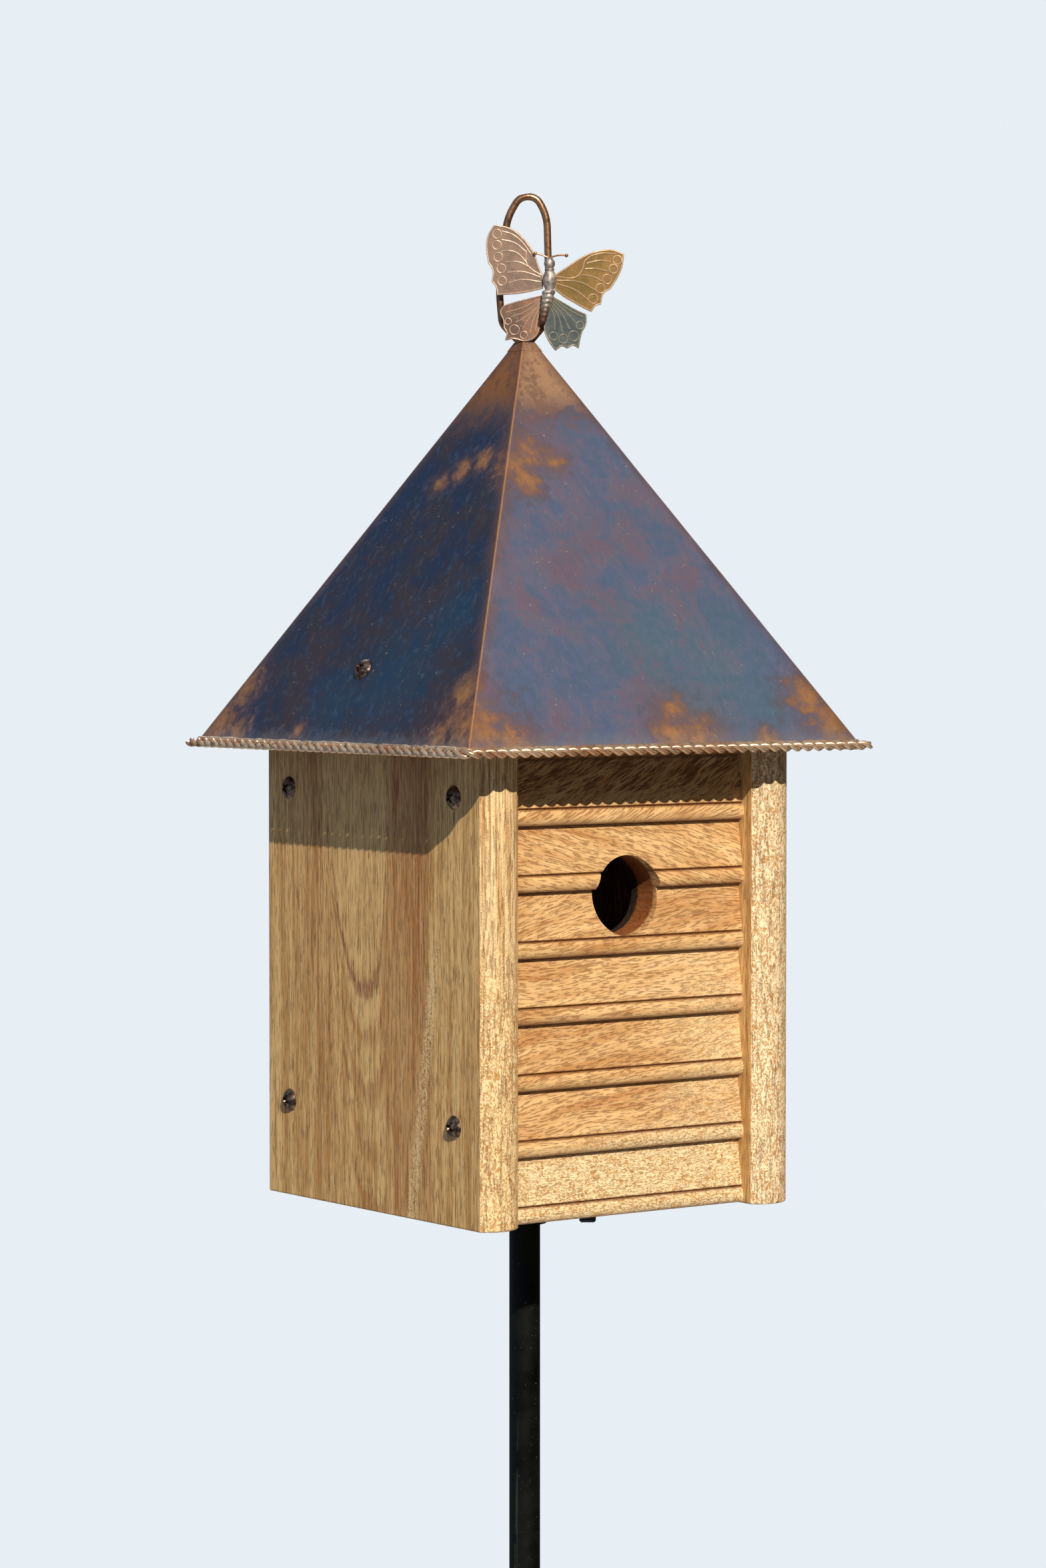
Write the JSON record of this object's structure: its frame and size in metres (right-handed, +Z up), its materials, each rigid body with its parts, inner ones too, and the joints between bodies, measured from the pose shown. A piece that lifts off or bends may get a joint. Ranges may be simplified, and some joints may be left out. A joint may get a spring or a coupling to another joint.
{
  "type": "nest box on pole",
  "caption": "Wooden nest box with a flamed-copper pyramid roof, twisted rope eave trim and butterfly hanger loop, on a sectional garden pole with a pronged ground base.",
  "frame": {"origin": "on the pole's axis at ground level, where the ground spike leaves the hub", "axes": "+Z up along the pole; the entry hole faces -Y and the left side board is at -X"},
  "size_m": [0.2395, 0.2395, 1.5639],
  "materials": {
    "board_wood": "oiled interlocked-grain hardwood",
    "flamed_copper": "heat-coloured copper sheet",
    "copper_rope": "tarnished copper wire",
    "copper_rod": "tarnished copper rod",
    "wing_copper": "embossed sheet, heat coloured",
    "pewter_copper": "dark cast metal",
    "bronze_screws": "dark bronze plated",
    "black_steel": "satin black powder coat"
  },
  "bodies": {
    "pole": {"ground_hub": "black_steel", "ground_spike": "black_steel", "ground_prongs": "black_steel", "pole_lower": "black_steel", "pole_middle": "black_steel", "pole_upper": "black_steel"},
    "house": {"pole_flange": "black_steel", "flange_screws": "black_steel", "floor_board": "board_wood", "left_side_board": "board_wood", "right_side_board": "board_wood", "front_board": "board_wood", "back_board": "board_wood", "left_side_screws": "bronze_screws", "right_side_screws": "bronze_screws"},
    "set_screw": {"set_screw": "black_steel"},
    "roof": {"roof_shell": "flamed_copper", "left_roof_cleat": "board_wood", "right_roof_cleat": "board_wood", "roof_screws": "bronze_screws", "front_eave_rope": "copper_rope", "back_eave_rope": "copper_rope", "apex_cap": "copper_rope", "hanger_loop": "copper_rod", "butterfly_body": "pewter_copper", "butterfly_antennae": "pewter_copper", "left_forewing": "wing_copper", "right_forewing": "wing_copper", "left_hindwing": "wing_copper", "right_hindwing": "wing_copper"}
  },
  "joints": [
    {"name": "house_swivel", "type": "hinge", "parent": "pole", "child": "house", "pos_m": [0, 0, 0.9], "axis": [0, 0, 1], "continuous": true},
    {"name": "set_screw_turn", "type": "hinge", "parent": "house", "child": "set_screw", "pos_m": [0, 0, 0.893], "axis": [0.809, -0.5878, 0], "continuous": true},
    {"name": "roof_lift", "type": "slide", "parent": "house", "child": "roof", "axis": [0, 0, 1], "range_m": [0, 0.09]}
  ]
}
